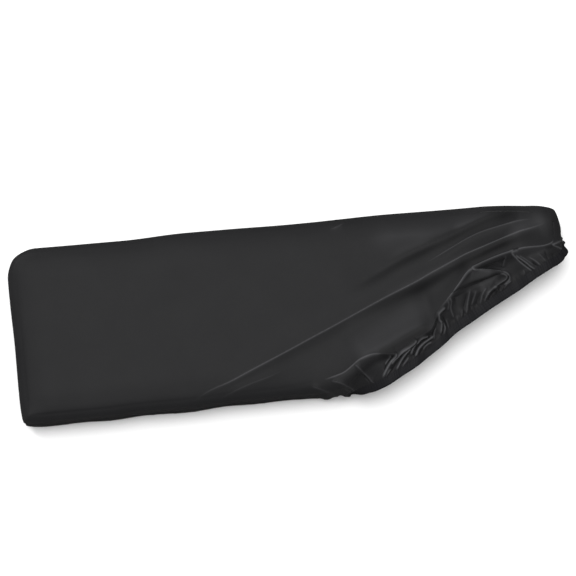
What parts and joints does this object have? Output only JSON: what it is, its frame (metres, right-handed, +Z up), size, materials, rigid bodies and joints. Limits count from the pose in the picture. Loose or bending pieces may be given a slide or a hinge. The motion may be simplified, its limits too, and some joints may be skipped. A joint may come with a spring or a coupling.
{
  "type": "fitted piano cover",
  "caption": "Black stretch cloth dust cover for a long slab keyboard, drawn back from one front corner, with a gathered side and an elastic hem.",
  "frame": {"origin": "the mount instrument_top: middle of the underside of the flat top panel, where it lies on the instrument", "axes": "+X along the cover towards the end that is drawn back, +Y towards the back long side, +Z up out of the top panel"},
  "size_m": [1.0951, 0.3499, 0.1374],
  "materials": {
    "stretch_cloth": "matt black brushed stretch knit with a faint sheen along the folds",
    "elastic_tape": "matt black folded elastic tape, smoother and darker than the cloth"
  },
  "bodies": {
    "root": {"cover_cloth": "stretch_cloth", "elastic_binding": "elastic_tape"}
  },
  "joints": []
}
